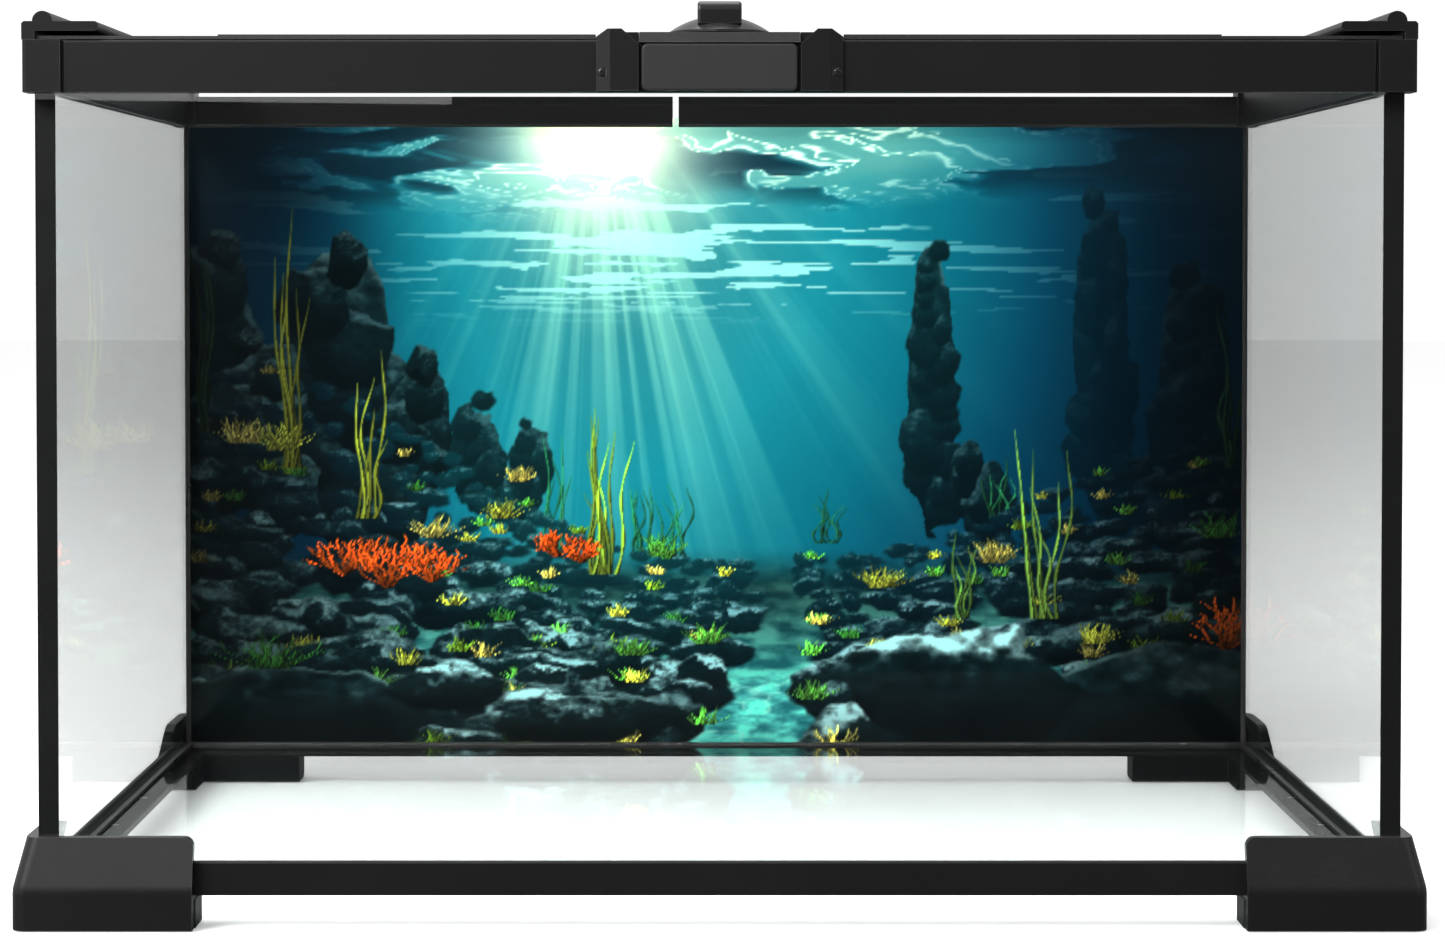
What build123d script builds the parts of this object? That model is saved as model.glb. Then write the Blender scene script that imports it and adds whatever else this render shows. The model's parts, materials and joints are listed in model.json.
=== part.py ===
from build123d import *
import os

# Glass aquarium tank on four corner feet, with a sliding screen lid and a quarter-turn lock.
# Millimetres. X runs to the right, Y to the back, Z up. The origin is the middle of the footprint,
# at floor level.

# Glass
TANK_W = 457.0          # outside width of the glass
TANK_D = 305.0          # outside depth of the glass
PANE_H = 277.1          # height of the four walls
GLASS = 5.0             # thickness of every pane
JOINT = 0.8             # silicone between two panes
BEAD = 1.2              # silicone bead run along the inside of a joint
BEAD_END = 0.3          # space left between a bead and the rail above it

# Base frame
BASE_LOW = 11.3         # underside of the base rails
BASE_TALL = 11.5        # height of the base rails
LEDGE = 2.3             # thickness of the ledge under the glass
LEDGE_REACH = 13.5      # how far the ledge goes in from the face of the glass
RAIL_WALL = 2.0         # wall of every rail
RAIL_FIT = 0.3          # clearance between glass and rail
BUTT_GAP = 0.1          # gap where two rails meet
STUD_R = 1.5
STUD_COUNT = 4          # in the ledge of each side rail, evenly spaced
STUD_EDGE = 7.5         # from the face of the glass to a stud
STUD_AHEAD = 15.0       # how far the row of studs sits towards the front
STUD_IN = 24.5          # from the end of a foot to the first stud
STUD_HEAD = 0.5         # how far a stud stands out under the ledge
STUD_FIT = 0.05

# Feet
FOOT_PROUD = 8.2        # how far a foot stands out from the glass
FOOT_OVER = 8.3         # how far a foot rises over the base rails
FOOT_CREASE = 13.9      # height where the upper slope begins
FOOT_TOP_PROUD = 4.0    # how far the top edge stands out from the glass
FOOT_WIDE = 20.7        # width of the tread under a rail
FOOT_FRONT_ARM = 60.7   # length along the front and back
FOOT_SIDE_ARM = 43.2    # length along the sides
FOOT_ROUND = 3.3        # rounding of the upper end corner of an arm
FOOT_CORNER_R = 5.0
FOOT_SOFT = 12.0        # rounding of the crease
FOOT_LIFT = 0.4         # foot moulding above the floor, on its pads
TREAD_STEP = 0.4        # how far the tread runs on past the end of the front arm
TREAD_H = 9.9
TREAD_INSET = 5.5
PAD_R = 5.0
PAD_H = 2.0
PAD_FIT = 0.05
PAD_END = 9.0           # from the end of an arm to the middle of its pad

# Top frame
RAIL_HANG = 10.7        # how far the top rails reach down over the glass
RAIL_OVER = 6.8         # how far the front and side rails rise over the glass
REAR_OVER = 2.1         # how far the lower rear rails rise over the glass
REAR_STEP = 0.6         # set-back of the upper inside face of a rear rail
REAR_STEP_DOWN = 3.8    # from the top of a rear rail down to the set-back
REAR_GAP = 2.5          # gap between the two rear rails
REAR_GAP_X = -17.0
RAIL_BEVEL = 1.2
RAIL_ROUND = 0.9
SHADOW_GAP = 1.0        # width and depth of the groove at the ends of the front rail
BLOCK_MORE = 1.9        # how far a corner block reaches in past the rails
BLOCK_PROUD = 3.7       # how far a corner block stands out from the glass
BLOCK_R = 1.6

# Lid tracks
LID_FIT = 0.3           # clearance under and beside the lid
LID_HEADROOM = 1.6      # clearance over the lid
TRACK_T = 3.2           # thickness of the flange over the lid
TRACK_REACH = 25.6      # width of the flange
TRACK_LIP = 4.4         # width of the strip that the flange stands on
TRACK_CHAMFER = 0.8
TRACK_NOSE = 1.44       # rounding of the inner edge of the flange
RIDGE_R = 3.4
RIDGE_IN = 7.0          # from the outer edge of the track to the middle of its ridge

# Lid
LID_T = 1.0
LID_BACK = 0.8          # how far the lid's ends sit in from the rail faces
BAR_BEHIND = 4.0        # front bar behind the bush of the lock
BAR_REAR = 14.0
BAR_SIDE = 24.0
SPLINE_W = 2.2
MESH_T = 0.4
RIB_IN = 36.3           # from the end of the screen opening to the stiffening rib
RIB_W = 1.5
RIB_H = 0.5

# Latch cheeks, panel and cap on the front rail
CHEEK_IN = 27.0         # from the middle to the inner face of a cheek
CHEEK_WIDE = 14.0
EAR_WIDE = 4.5          # width of the slanted ear
CHEEK_EAR_DEPTH = 2.2
CHEEK_RISE = 3.5        # how far the peak stands over the rail
PEAK_FROM = 5.6         # the level part of the peak, from the inner face of the cheek
PEAK_TO = 10.3
EAR_RISE = 1.0          # how far the outer corner stands over the rail
CHEEK_PROUD = 5.5       # front face, out from the glass
CHEEK_BACK = 8.8        # how far a cheek reaches back over the rail
PANEL_SIDE = 1.0        # gap between the panel and a cheek
PANEL_UP = 0.4          # from the underside of the rail to the panel
PANEL_DOWN = 1.4        # from the top of the rail to the panel
PANEL_PROUD = 5.2
PANEL_CORNER = 2.2
PANEL_EDGE = 0.8
CAP_SEAM = 0.4
CAP_RISE = 2.5          # how far the cap stands over the rail
CAP_SIDE = 0.2
SCREW_IN = 2.0          # from the outer edge of a cheek to its screw
SCREW_UP = 6.5          # from the underside of the rail to the screw
SCREW_R = 0.95
SCREW_HEAD_R = 1.6
SCREW_HEAD_H = 1.0
SCREW_FIT = 0.05

# Lock
LOCK_IN = 14.5          # from the face of the glass to the knob's axis
BASE_SIDE = 0.6         # gap between the latch base and a cheek
BASE_T = 1.3
BASE_BACK = 19.0        # from the knob's axis to the rear edge of the latch base
BASE_CORNER = 8.0
BUSH_R = 6.0
SLEEVE_R = 4.5
SLEEVE_UP = 3.1         # how far the sleeve goes up into the knob
PIN_R = 2.0
PIN_DOWN = 0.3          # from the top of the sleeve to the top of the pin
RUN_FIT = 0.05          # radial running clearance
KNOB_R = 16.85
KNOB_GAP = 0.3
KNOB_EDGE = 0.7         # height of the knob's straight edge
DOME_H = 5.4
GRIP_W = 14.8
GRIP_L = 27.0
GRIP_UP = 10.6          # from the latch base to the top of the grip
GRIP_END_R = 3.0
GRIP_EDGE_R = 1.0
PIN_THROW = 4.0         # how far the pin drops in a quarter turn
STRIKE_HALF = 14.0
STRIKE_DEEP = 15.0
STRIKE_SPARE = 2.6      # depth of the strike past the end of the pin
STRIKE_FIT = 0.2

# Background film
FILM_T = 0.2
FILM_IN = 2.0
FILM_TUCK = 4.0

# Places worked out from the sizes above
HALF_W = TANK_W / 2
HALF_D = TANK_D / 2
SEAT = BASE_LOW + LEDGE
BASE_HIGH = BASE_LOW + BASE_TALL
FOOT_H = BASE_HIGH + FOOT_OVER
PANE_TOP = SEAT + PANE_H
RAIL_LOW = PANE_TOP - RAIL_HANG
RAIL_TOP = PANE_TOP + RAIL_OVER
REAR_TOP = PANE_TOP + REAR_OVER
REAR_STEP_Z = REAR_TOP - REAR_STEP_DOWN
FLOOR_TOP = SEAT + GLASS
BEAD_TOP = RAIL_LOW - BEAD_END
RAIL_OUT = RAIL_FIT + RAIL_WALL
LID_LOW = RAIL_TOP + LID_FIT
LID_TOP = LID_LOW + LID_T
TRACK_LOW = LID_TOP + LID_HEADROOM
TRACK_TOP = TRACK_LOW + TRACK_T
BLOCK_X = HALF_W - GLASS - RAIL_OUT - BLOCK_MORE
BLOCK_Y = HALF_D - GLASS - RAIL_OUT - BLOCK_MORE
LID_HALF_W = HALF_W + BLOCK_PROUD - TRACK_LIP - LID_FIT
LID_HALF_D = HALF_D + RAIL_OUT - LID_BACK
BASE_TOP = LID_TOP + BASE_T
CHEEK_OUT = CHEEK_IN + CHEEK_WIDE
CHEEK_EAR = CHEEK_OUT - EAR_WIDE
CHEEK_TOP = RAIL_TOP + CHEEK_RISE
PANEL_HALF = CHEEK_IN - PANEL_SIDE
PANEL_LOW = RAIL_LOW + PANEL_UP
PANEL_TOP = RAIL_TOP - PANEL_DOWN
CAP_TOP = RAIL_TOP + CAP_RISE
SCREW_X = CHEEK_OUT - SCREW_IN
SCREW_Z = RAIL_LOW + SCREW_UP
BASE_HALF = CHEEK_IN - BASE_SIDE
SLEEVE_TOP = BASE_TOP + SLEEVE_UP
PIN_TOP = SLEEVE_TOP - PIN_DOWN
GRIP_TOP = BASE_TOP + GRIP_UP
STRIKE_LOW = LID_LOW - PIN_THROW - STRIKE_SPARE
LOCK_Y = -(HALF_D - LOCK_IN)
BAR_FRONT = LID_HALF_D + LOCK_Y + BUSH_R + BAR_BEHIND
FRONT_FACE = -(HALF_D + RAIL_OUT)
SIDES = {"left": -1, "right": 1}
ENDS = {"front": -1, "rear": 1}


def block(x, y, z):
    """A box between three pairs of (low, high) values."""
    spans = [sorted(pair) for pair in (x, y, z)]
    middle = [(low + high) / 2 for low, high in spans]
    size = [high - low for low, high in spans]
    return Pos(*middle) * Box(*size)


def rod(radius, x, y, z0, z1):
    """An upright cylinder from z0 to z1."""
    return Pos(x, y, (z0 + z1) / 2) * Cylinder(radius, z1 - z0)


def outline(points, corners=(), radius=0.0):
    """A flat face through the points, with the named corners rounded."""
    face = make_face(Polyline(*points, close=True))
    if not corners:
        return face
    picked = [min(face.vertices(), key=lambda v: abs(v.X - u) + abs(v.Y - z)) for u, z in corners]
    return fillet(picked, radius)


def along_x(face, x0, x1):
    """Extrude a face drawn in (y, z) from x0 to x1."""
    return Pos(x0, 0, 0) * extrude(Plane.YZ * face, amount=x1 - x0)


def along_y(face, y0, y1):
    """Extrude a face drawn in (x, z) from y0 to y1."""
    return Pos(0, y1, 0) * extrude(Plane.XZ * face, amount=y1 - y0)


def place(shape, side, end):
    """Mirror a shape made in the rear right quarter into another quarter."""
    if side < 0:
        shape = mirror(shape, about=Plane.YZ)
    if end < 0:
        shape = mirror(shape, about=Plane.XZ)
    return shape


def save(shape, node):
    """Write one sub-part."""
    export_step(shape, f"parts/{node}.step")


def make_glass():
    """Four walls and a floor: the side walls stand between the front and rear ones."""
    walls = (SEAT, PANE_TOP)
    for end, sign in ENDS.items():
        faces = (sign * HALF_D, sign * (HALF_D - GLASS))
        save(block((-HALF_W, HALF_W), faces, walls), f"{end}_pane")
    wall_y = HALF_D - GLASS - JOINT
    for side, sign in SIDES.items():
        faces = (sign * HALF_W, sign * (HALF_W - GLASS))
        save(block(faces, (-wall_y, wall_y), walls), f"{side}_pane")
    floor_x = HALF_W - GLASS - JOINT
    save(block((-floor_x, floor_x), (-wall_y, wall_y), (SEAT, FLOOR_TOP)), "bottom_pane")


def make_seams():
    """Silicone in the four upright joints, and a frame of it round the floor."""
    wall_x = HALF_W - GLASS
    wall_y = HALF_D - GLASS
    joint = block((wall_x, HALF_W), (wall_y - JOINT, wall_y), (SEAT, BEAD_TOP))
    corner = [(wall_x, wall_y), (wall_x - BEAD, wall_y), (wall_x, wall_y - JOINT - BEAD)]
    bead = extrude(outline(corner), amount=BEAD_TOP - FLOOR_TOP - BEAD)
    seam = joint + Pos(0, 0, FLOOR_TOP + BEAD) * bead
    for side, sx in SIDES.items():
        for end, sy in ENDS.items():
            save(place(seam, sx, sy), f"seam_{end}_{side}")
    frame = Pos(0, 0, SEAT) * extrude(Rectangle(2 * wall_x, 2 * wall_y), amount=GLASS + BEAD)
    floor = Rectangle(2 * (wall_x - JOINT), 2 * (wall_y - JOINT))
    frame -= Pos(0, 0, SEAT) * extrude(floor, amount=GLASS)
    inner = Rectangle(2 * (wall_x - JOINT - BEAD), 2 * (wall_y - JOINT - BEAD))
    frame -= Pos(0, 0, SEAT) * extrude(inner, amount=GLASS + 2 * BEAD)
    save(frame, "seam_floor")


def base_outline(half, sign):
    """L section of a base rail: a wall outside the glass and a ledge under it."""
    wall_in = half + RAIL_FIT
    wall_out = half + RAIL_OUT
    ledge_in = half - LEDGE_REACH
    points = [(ledge_in, BASE_LOW), (wall_out, BASE_LOW), (wall_out, BASE_HIGH)]
    points += [(wall_in, BASE_HIGH), (wall_in, SEAT), (ledge_in, SEAT)]
    corner = (sign * wall_out, BASE_HIGH)
    return outline([(sign * u, z) for u, z in points], [corner], RAIL_ROUND)


def make_base():
    """Front and rear rails run the full width; side rails stand between them."""
    full = HALF_W + RAIL_OUT
    for end, sign in ENDS.items():
        save(along_x(base_outline(HALF_D, sign), -full, full), f"base_rail_{end}")
    reach = HALF_D - LEDGE_REACH - BUTT_GAP
    last = HALF_D + FOOT_PROUD - FOOT_SIDE_ARM - STUD_IN
    rows = [last * (2 * i / (STUD_COUNT - 1) - 1) - STUD_AHEAD for i in range(STUD_COUNT)]
    studs = []
    for side, sign in SIDES.items():
        rail = along_y(base_outline(HALF_W, sign), -reach, reach)
        for y in rows:
            x = sign * (HALF_W - STUD_EDGE)
            rail -= rod(STUD_R + STUD_FIT, x, y, 0, BASE_HIGH)
            studs.append(rod(STUD_R, x, y, BASE_LOW - STUD_HEAD, SEAT))
        save(rail, f"base_rail_{side}")
    save(Compound(children=studs), "rail_studs")


def ring_step(proud, z0, z1, top_proud=None, radius=0.0):
    """A solid slab round the tank, standing out by proud, and by top_proud at its top."""
    sketches = []
    for z, out in ((z0, proud), (z1, proud if top_proud is None else top_proud)):
        size = (TANK_W + 2 * out, TANK_D + 2 * out)
        shape = RectangleRounded(*size, radius) if radius else Rectangle(*size)
        sketches.append(Pos(0, 0, z) * shape)
    return loft(sketches)


def foot_ring():
    """The section of the feet carried all round the tank."""
    shelf_z = BASE_HIGH + RAIL_FIT
    wall = RAIL_OUT + BUTT_GAP
    ring = ring_step(FOOT_PROUD, FOOT_LIFT, FOOT_CREASE, radius=FOOT_CORNER_R)
    ring += ring_step(FOOT_PROUD, FOOT_CREASE, FOOT_H, FOOT_TOP_PROUD, FOOT_CORNER_R)
    crease = ring.edges().filter_by(lambda edge: abs(edge.center().Z - FOOT_CREASE) < 0.01)
    ring = fillet(crease, FOOT_SOFT)
    ring -= ring_step(wall, BASE_LOW, shelf_z)
    ring -= ring_step(wall, shelf_z, FOOT_H, RAIL_FIT)
    inner = FOOT_PROUD - FOOT_WIDE
    return ring - ring_step(inner, 0, BASE_LOW)


def foot_pads():
    """Pads of one foot: one at its corner and one near the end of each arm."""
    mid_x = HALF_W + FOOT_PROUD - FOOT_WIDE / 2
    mid_y = HALF_D + FOOT_PROUD - FOOT_WIDE / 2
    end_x = HALF_W + FOOT_PROUD - FOOT_FRONT_ARM + PAD_END
    end_y = HALF_D + FOOT_PROUD - FOOT_SIDE_ARM + PAD_END
    return [(mid_x, mid_y), (end_x, mid_y), (mid_x, end_y)]


def make_feet():
    """Four L-shaped feet, cut from the ring, each with a tread and three rubber pads."""
    out_x = HALF_W + FOOT_PROUD
    out_y = HALF_D + FOOT_PROUD
    end_x = out_x - FOOT_FRONT_ARM
    end_y = out_y - FOOT_SIDE_ARM
    reach = block((end_x, out_x + 1), (end_y, out_y + 1), (0, FOOT_H))
    top = reach.faces().sort_by(Axis.Z)[-1].edges()
    ends = [top.sort_by(Axis.X)[0], top.sort_by(Axis.Y)[0]]
    foot = foot_ring() & fillet(ends, FOOT_ROUND)
    tread_y = (out_y - TREAD_INSET, out_y - FOOT_WIDE)
    foot += block((end_x - TREAD_STEP, end_x + PAD_END), tread_y, (FOOT_LIFT, TREAD_H))
    pads = []
    for x, y in foot_pads():
        foot -= rod(PAD_R + PAD_FIT, x, y, 0, PAD_H)
        pads.append(rod(PAD_R, x, y, 0, PAD_H))
    every_pad = []
    for side, sx in SIDES.items():
        for end, sy in ENDS.items():
            save(place(foot, sx, sy), f"foot_{end}_{side}")
            every_pad += [place(pad, sx, sy) for pad in pads]
    save(Compound(children=every_pad), "foot_pads")


def top_outline(half, sign, top, step=0.0):
    """U section of a top rail over the edge of a pane."""
    outer = half + RAIL_OUT
    slot_out = half + RAIL_FIT
    slot_in = half - GLASS - RAIL_FIT
    inner = slot_in - RAIL_WALL
    slot_top = PANE_TOP + RAIL_FIT
    points = [(outer, RAIL_LOW), (outer, top), (inner + step, top)]
    if step:
        points += [(inner + step, REAR_STEP_Z + step), (inner, REAR_STEP_Z)]
    points += [(inner, RAIL_LOW + RAIL_BEVEL), (inner + RAIL_BEVEL, RAIL_LOW)]
    points += [(slot_in, RAIL_LOW), (slot_in, slot_top), (slot_out, slot_top), (slot_out, RAIL_LOW)]
    corner = (sign * outer, top)
    return outline([(sign * u, z) for u, z in points], [corner], RAIL_ROUND)


def screw(sign, fit=0.0):
    """A pan-head screw through the ear of a cheek into the front rail."""
    slope = (SCREW_X - CHEEK_EAR) / (CHEEK_OUT - CHEEK_EAR)
    ear = -(HALF_D + CHEEK_PROUD) + slope * CHEEK_EAR_DEPTH
    tip = FRONT_FACE + RAIL_WALL - BUTT_GAP
    pieces = [(SCREW_HEAD_R, ear - SCREW_HEAD_H / 2, ear + SCREW_HEAD_H / 2), (SCREW_R, ear, tip + fit)]
    made = []
    for radius, y0, y1 in pieces:
        shank = Rot(90, 0, 0) * Cylinder(radius + fit, y1 - y0)
        made.append(Pos(sign * SCREW_X, (y0 + y1) / 2, SCREW_Z) * shank)
    return made[0] + made[1]


def make_top_rails():
    """Tall rails at the front and sides, and two lower lengths at the back."""
    end_x = BLOCK_X - BUTT_GAP
    front = along_x(top_outline(HALF_D, -1, RAIL_TOP), -end_x, end_x)
    groove_y = (FRONT_FACE, FRONT_FACE + SHADOW_GAP)
    for sign in SIDES.values():
        front -= screw(sign, SCREW_FIT)
        front -= block((sign * (end_x - SHADOW_GAP), sign * end_x), groove_y, (RAIL_LOW, RAIL_TOP))
    save(front, "top_rail_front")
    end_y = BLOCK_Y - BUTT_GAP
    for side, sign in SIDES.items():
        save(along_y(top_outline(HALF_W, sign, RAIL_TOP), -end_y, end_y), f"top_rail_{side}")
    rear = top_outline(HALF_D, 1, REAR_TOP, REAR_STEP)
    save(along_x(rear, -end_x, REAR_GAP_X - REAR_GAP / 2), "top_rail_rear_left")
    save(along_x(rear, REAR_GAP_X + REAR_GAP / 2, end_x), "top_rail_rear_right")


def make_corner_blocks():
    """Corner blocks sit over the glass corners, with slots for the two panes."""
    out_x = HALF_W + BLOCK_PROUD
    out_y = HALF_D + BLOCK_PROUD
    body = block((BLOCK_X, out_x), (BLOCK_Y, out_y), (RAIL_LOW, RAIL_TOP))
    upright = body.edges().filter_by(Axis.Z).sort_by(Axis.X)[-2:]
    body = fillet(upright.sort_by(Axis.Y)[-1], BLOCK_R)
    slot_z = (0, PANE_TOP + RAIL_FIT)
    slot_x = (HALF_W - GLASS - RAIL_FIT, HALF_W + RAIL_FIT)
    slot_y = (HALF_D - GLASS - RAIL_FIT, HALF_D + RAIL_FIT)
    body -= block((0, slot_x[1]), slot_y, slot_z)
    body -= block(slot_x, (0, slot_y[1]), slot_z)
    for side, sx in SIDES.items():
        for end, sy in ENDS.items():
            save(place(body, sx, sy), f"corner_{end}_{side}")


def make_tracks():
    """Tracks hold the lid down: a lip beside it, a flange over it and a round ridge on top."""
    out_x = HALF_W + BLOCK_PROUD
    lip_in = out_x - TRACK_LIP
    flange_in = out_x - TRACK_REACH
    points = [(lip_in, RAIL_TOP), (out_x, RAIL_TOP), (out_x, TRACK_TOP - TRACK_CHAMFER)]
    points += [(out_x - TRACK_CHAMFER, TRACK_TOP), (flange_in, TRACK_TOP)]
    points += [(flange_in, TRACK_LOW), (lip_in, TRACK_LOW)]
    nose = [(flange_in, TRACK_TOP), (flange_in, TRACK_LOW)]
    section = outline(points, nose, TRACK_NOSE)
    reach = HALF_D + BLOCK_PROUD
    track = along_y(section, -reach, reach)
    ridge = Pos(out_x - RIDGE_IN, 0, TRACK_TOP) * Rot(90, 0, 0) * Cylinder(RIDGE_R, 2 * reach)
    track += ridge - block((0, out_x), (-reach, reach), (0, TRACK_LOW + TRACK_T / 2))
    for side, sign in SIDES.items():
        save(place(track, sign, 1), f"lid_track_{side}")


def cheek():
    """Right-hand cheek: a peaked plate in front of the rail that reaches back over it."""
    face_y = -(HALF_D + CHEEK_PROUD)
    points = [(CHEEK_IN, PANEL_LOW), (CHEEK_OUT, PANEL_LOW), (CHEEK_OUT, RAIL_TOP + EAR_RISE)]
    points += [(CHEEK_IN + PEAK_TO, CHEEK_TOP), (CHEEK_IN + PEAK_FROM, CHEEK_TOP), (CHEEK_IN, PANEL_TOP)]
    body = along_y(outline(points), face_y, FRONT_FACE + CHEEK_BACK)
    body += block((CHEEK_IN, CHEEK_IN + PEAK_FROM), (FRONT_FACE, FRONT_FACE + CHEEK_BACK), (0, CAP_TOP))
    body -= block((0, 2 * CHEEK_OUT), (FRONT_FACE, 0), (0, RAIL_TOP))
    wide = 2 * CHEEK_OUT - CHEEK_EAR
    deep = face_y + CHEEK_EAR_DEPTH * (wide - CHEEK_EAR) / (CHEEK_OUT - CHEEK_EAR)
    wedge = outline([(CHEEK_EAR, face_y), (wide, face_y), (wide, deep)])
    return body - extrude(wedge, amount=2 * CHEEK_TOP) - screw(1, SCREW_FIT)


def make_latch_front():
    """Cheeks, panel and sloped cap fixed to the front rail, and the strike behind it."""
    right = cheek()
    for side, sign in SIDES.items():
        save(place(right, sign, 1), f"latch_cheek_{side}")
    save(Compound(children=[screw(sign) for sign in SIDES.values()]), "latch_screws")
    panel_y = -(HALF_D + PANEL_PROUD)
    mid_z = (PANEL_LOW + PANEL_TOP) / 2
    front = Pos(0, mid_z) * RectangleRounded(2 * PANEL_HALF, PANEL_TOP - PANEL_LOW, PANEL_CORNER)
    panel = along_y(front, panel_y, FRONT_FACE)
    panel = fillet(panel.faces().sort_by(Axis.Y)[0].edges(), PANEL_EDGE)
    save(panel, "latch_panel")
    low = PANEL_TOP + CAP_SEAM
    back = -LID_HALF_D - LID_FIT
    rise = [(panel_y, low), (back - RAIL_ROUND, CAP_TOP), (back, CAP_TOP), (back, RAIL_TOP)]
    cap = outline(rise + [(FRONT_FACE, RAIL_TOP), (FRONT_FACE, low)])
    half = CHEEK_IN - CAP_SIDE
    save(along_x(cap, -half, half), "latch_cap")
    wall_in = -(HALF_D - GLASS - RAIL_OUT)
    strike = block((-STRIKE_HALF, STRIKE_HALF), (wall_in, wall_in + STRIKE_DEEP), (STRIKE_LOW, RAIL_TOP))
    save(strike - rod(PIN_R + STRIKE_FIT, 0, LOCK_Y, 0, RAIL_TOP), "lock_strike")


def make_lid():
    """Flat bars round a screen held by a spline; the front bar clears the cheeks."""
    thick = (LID_LOW, LID_TOP)
    full = (-LID_HALF_W, LID_HALF_W)
    bar_y = BAR_FRONT - LID_HALF_D
    rear_y = LID_HALF_D - BAR_REAR
    front = block(full, (-LID_HALF_D, bar_y), thick)
    rib_y = (-LID_HALF_D, RIB_W - LID_HALF_D)
    rib_x = LID_HALF_W - BAR_SIDE - RIB_IN
    front += block((-rib_x, rib_x), rib_y, (LID_LOW, LID_TOP + RIB_H))
    notch_y = FRONT_FACE + CHEEK_BACK + LID_FIT
    notch_x = CHEEK_OUT + LID_FIT
    front -= block((-notch_x, notch_x), (-HALF_D * 2, notch_y), (LID_TOP, TRACK_TOP))
    for sign in SIDES.values():
        front -= block((sign * BASE_HALF, sign * notch_x), (-HALF_D * 2, notch_y), (0, TRACK_TOP))
    save(front - rod(BUSH_R, 0, LOCK_Y, 0, TRACK_TOP), "lid_bar_front")
    save(block(full, (rear_y, LID_HALF_D), thick), "lid_bar_rear")
    open_x = LID_HALF_W - BAR_SIDE
    for side, sign in SIDES.items():
        save(block((sign * open_x, sign * LID_HALF_W), (bar_y, rear_y), thick), f"lid_bar_{side}")
    spline = block((-open_x, open_x), (bar_y, rear_y), thick)
    in_x = open_x - SPLINE_W
    in_y = (bar_y + SPLINE_W, rear_y - SPLINE_W)
    save(spline - block((-in_x, in_x), in_y, (0, TRACK_TOP)), "lid_spline")
    mid = (LID_LOW + LID_TOP) / 2
    save(block((-in_x, in_x), in_y, (mid - MESH_T / 2, mid + MESH_T / 2)), "lid_screen")


def make_lock():
    """Latch base and bush on the lid, the knob with its cam sleeve, and the lock pin."""
    back_y = LOCK_Y + BASE_BACK
    plate = block((-BASE_HALF, BASE_HALF), (-LID_HALF_D, back_y), (LID_TOP, BASE_TOP))
    rear = plate.edges().filter_by(Axis.Z).sort_by(Axis.Y)[-2:]
    plate = fillet(rear, BASE_CORNER) - rod(BUSH_R, 0, LOCK_Y, 0, GRIP_TOP)
    save(plate, "latch_base")
    bush = rod(BUSH_R, 0, LOCK_Y, LID_LOW, BASE_TOP) - rod(SLEEVE_R + RUN_FIT, 0, LOCK_Y, 0, GRIP_TOP)
    save(bush, "lock_bush")
    sleeve = rod(SLEEVE_R, 0, LOCK_Y, LID_LOW, SLEEVE_TOP) - rod(PIN_R + RUN_FIT, 0, LOCK_Y, 0, GRIP_TOP)
    save(sleeve, "cam_sleeve")
    save(rod(PIN_R, 0, LOCK_Y, LID_LOW, PIN_TOP), "lock_pin")
    knob_low = BASE_TOP + KNOB_GAP
    dome_top = knob_low + KNOB_EDGE + DOME_H
    sphere_r = (KNOB_R ** 2 + DOME_H ** 2) / (2 * DOME_H)
    dome = rod(KNOB_R, 0, LOCK_Y, knob_low, dome_top + 1)
    dome = dome & (Pos(0, LOCK_Y, dome_top - sphere_r) * Sphere(sphere_r))
    half_l = GRIP_L / 2
    ends = (LOCK_Y - half_l, LOCK_Y + half_l)
    low = SLEEVE_TOP
    side = [(ends[0], low), (ends[0], GRIP_TOP), (ends[1], GRIP_TOP), (ends[1], low)]
    grip = along_x(outline(side, side[1:3], GRIP_END_R), -GRIP_W / 2, GRIP_W / 2)
    crest = grip.faces().sort_by(Axis.Z)[-1].edges().filter_by(Axis.Y)
    knob = dome + fillet(crest, GRIP_EDGE_R)
    save(knob - rod(SLEEVE_R, 0, LOCK_Y, 0, SLEEVE_TOP), "lock_knob")


def make_film():
    """A printed film on the back of the rear pane, tucked under the rail edges."""
    half = HALF_W - FILM_IN
    height = (BASE_HIGH - FILM_TUCK, RAIL_LOW + FILM_TUCK)
    save(block((-half, half), (HALF_D, HALF_D + FILM_T), height), "background_film")


os.makedirs("parts", exist_ok=True)
make_glass()
make_seams()
make_base()
make_feet()
make_top_rails()
make_corner_blocks()
make_tracks()
make_latch_front()
make_lid()
make_lock()
make_film()
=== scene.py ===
import json
import math

import bpy
import numpy as np
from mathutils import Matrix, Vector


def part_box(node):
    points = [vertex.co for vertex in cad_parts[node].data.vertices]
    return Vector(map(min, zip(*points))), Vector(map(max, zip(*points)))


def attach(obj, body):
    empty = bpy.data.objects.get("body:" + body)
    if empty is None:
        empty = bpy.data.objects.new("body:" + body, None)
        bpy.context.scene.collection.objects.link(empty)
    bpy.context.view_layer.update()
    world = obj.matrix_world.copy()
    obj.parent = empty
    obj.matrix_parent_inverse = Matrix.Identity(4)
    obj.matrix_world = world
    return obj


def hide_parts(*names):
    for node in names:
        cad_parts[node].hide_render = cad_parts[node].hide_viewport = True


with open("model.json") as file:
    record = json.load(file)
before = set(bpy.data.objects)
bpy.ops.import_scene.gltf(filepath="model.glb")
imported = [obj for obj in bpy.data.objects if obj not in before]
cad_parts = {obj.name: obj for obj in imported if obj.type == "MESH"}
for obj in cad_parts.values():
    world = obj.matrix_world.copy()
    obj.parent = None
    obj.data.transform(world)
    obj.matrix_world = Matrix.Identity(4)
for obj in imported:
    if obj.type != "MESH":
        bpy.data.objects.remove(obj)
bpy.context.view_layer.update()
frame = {"nodes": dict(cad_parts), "record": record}

MM = 0.001

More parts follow.
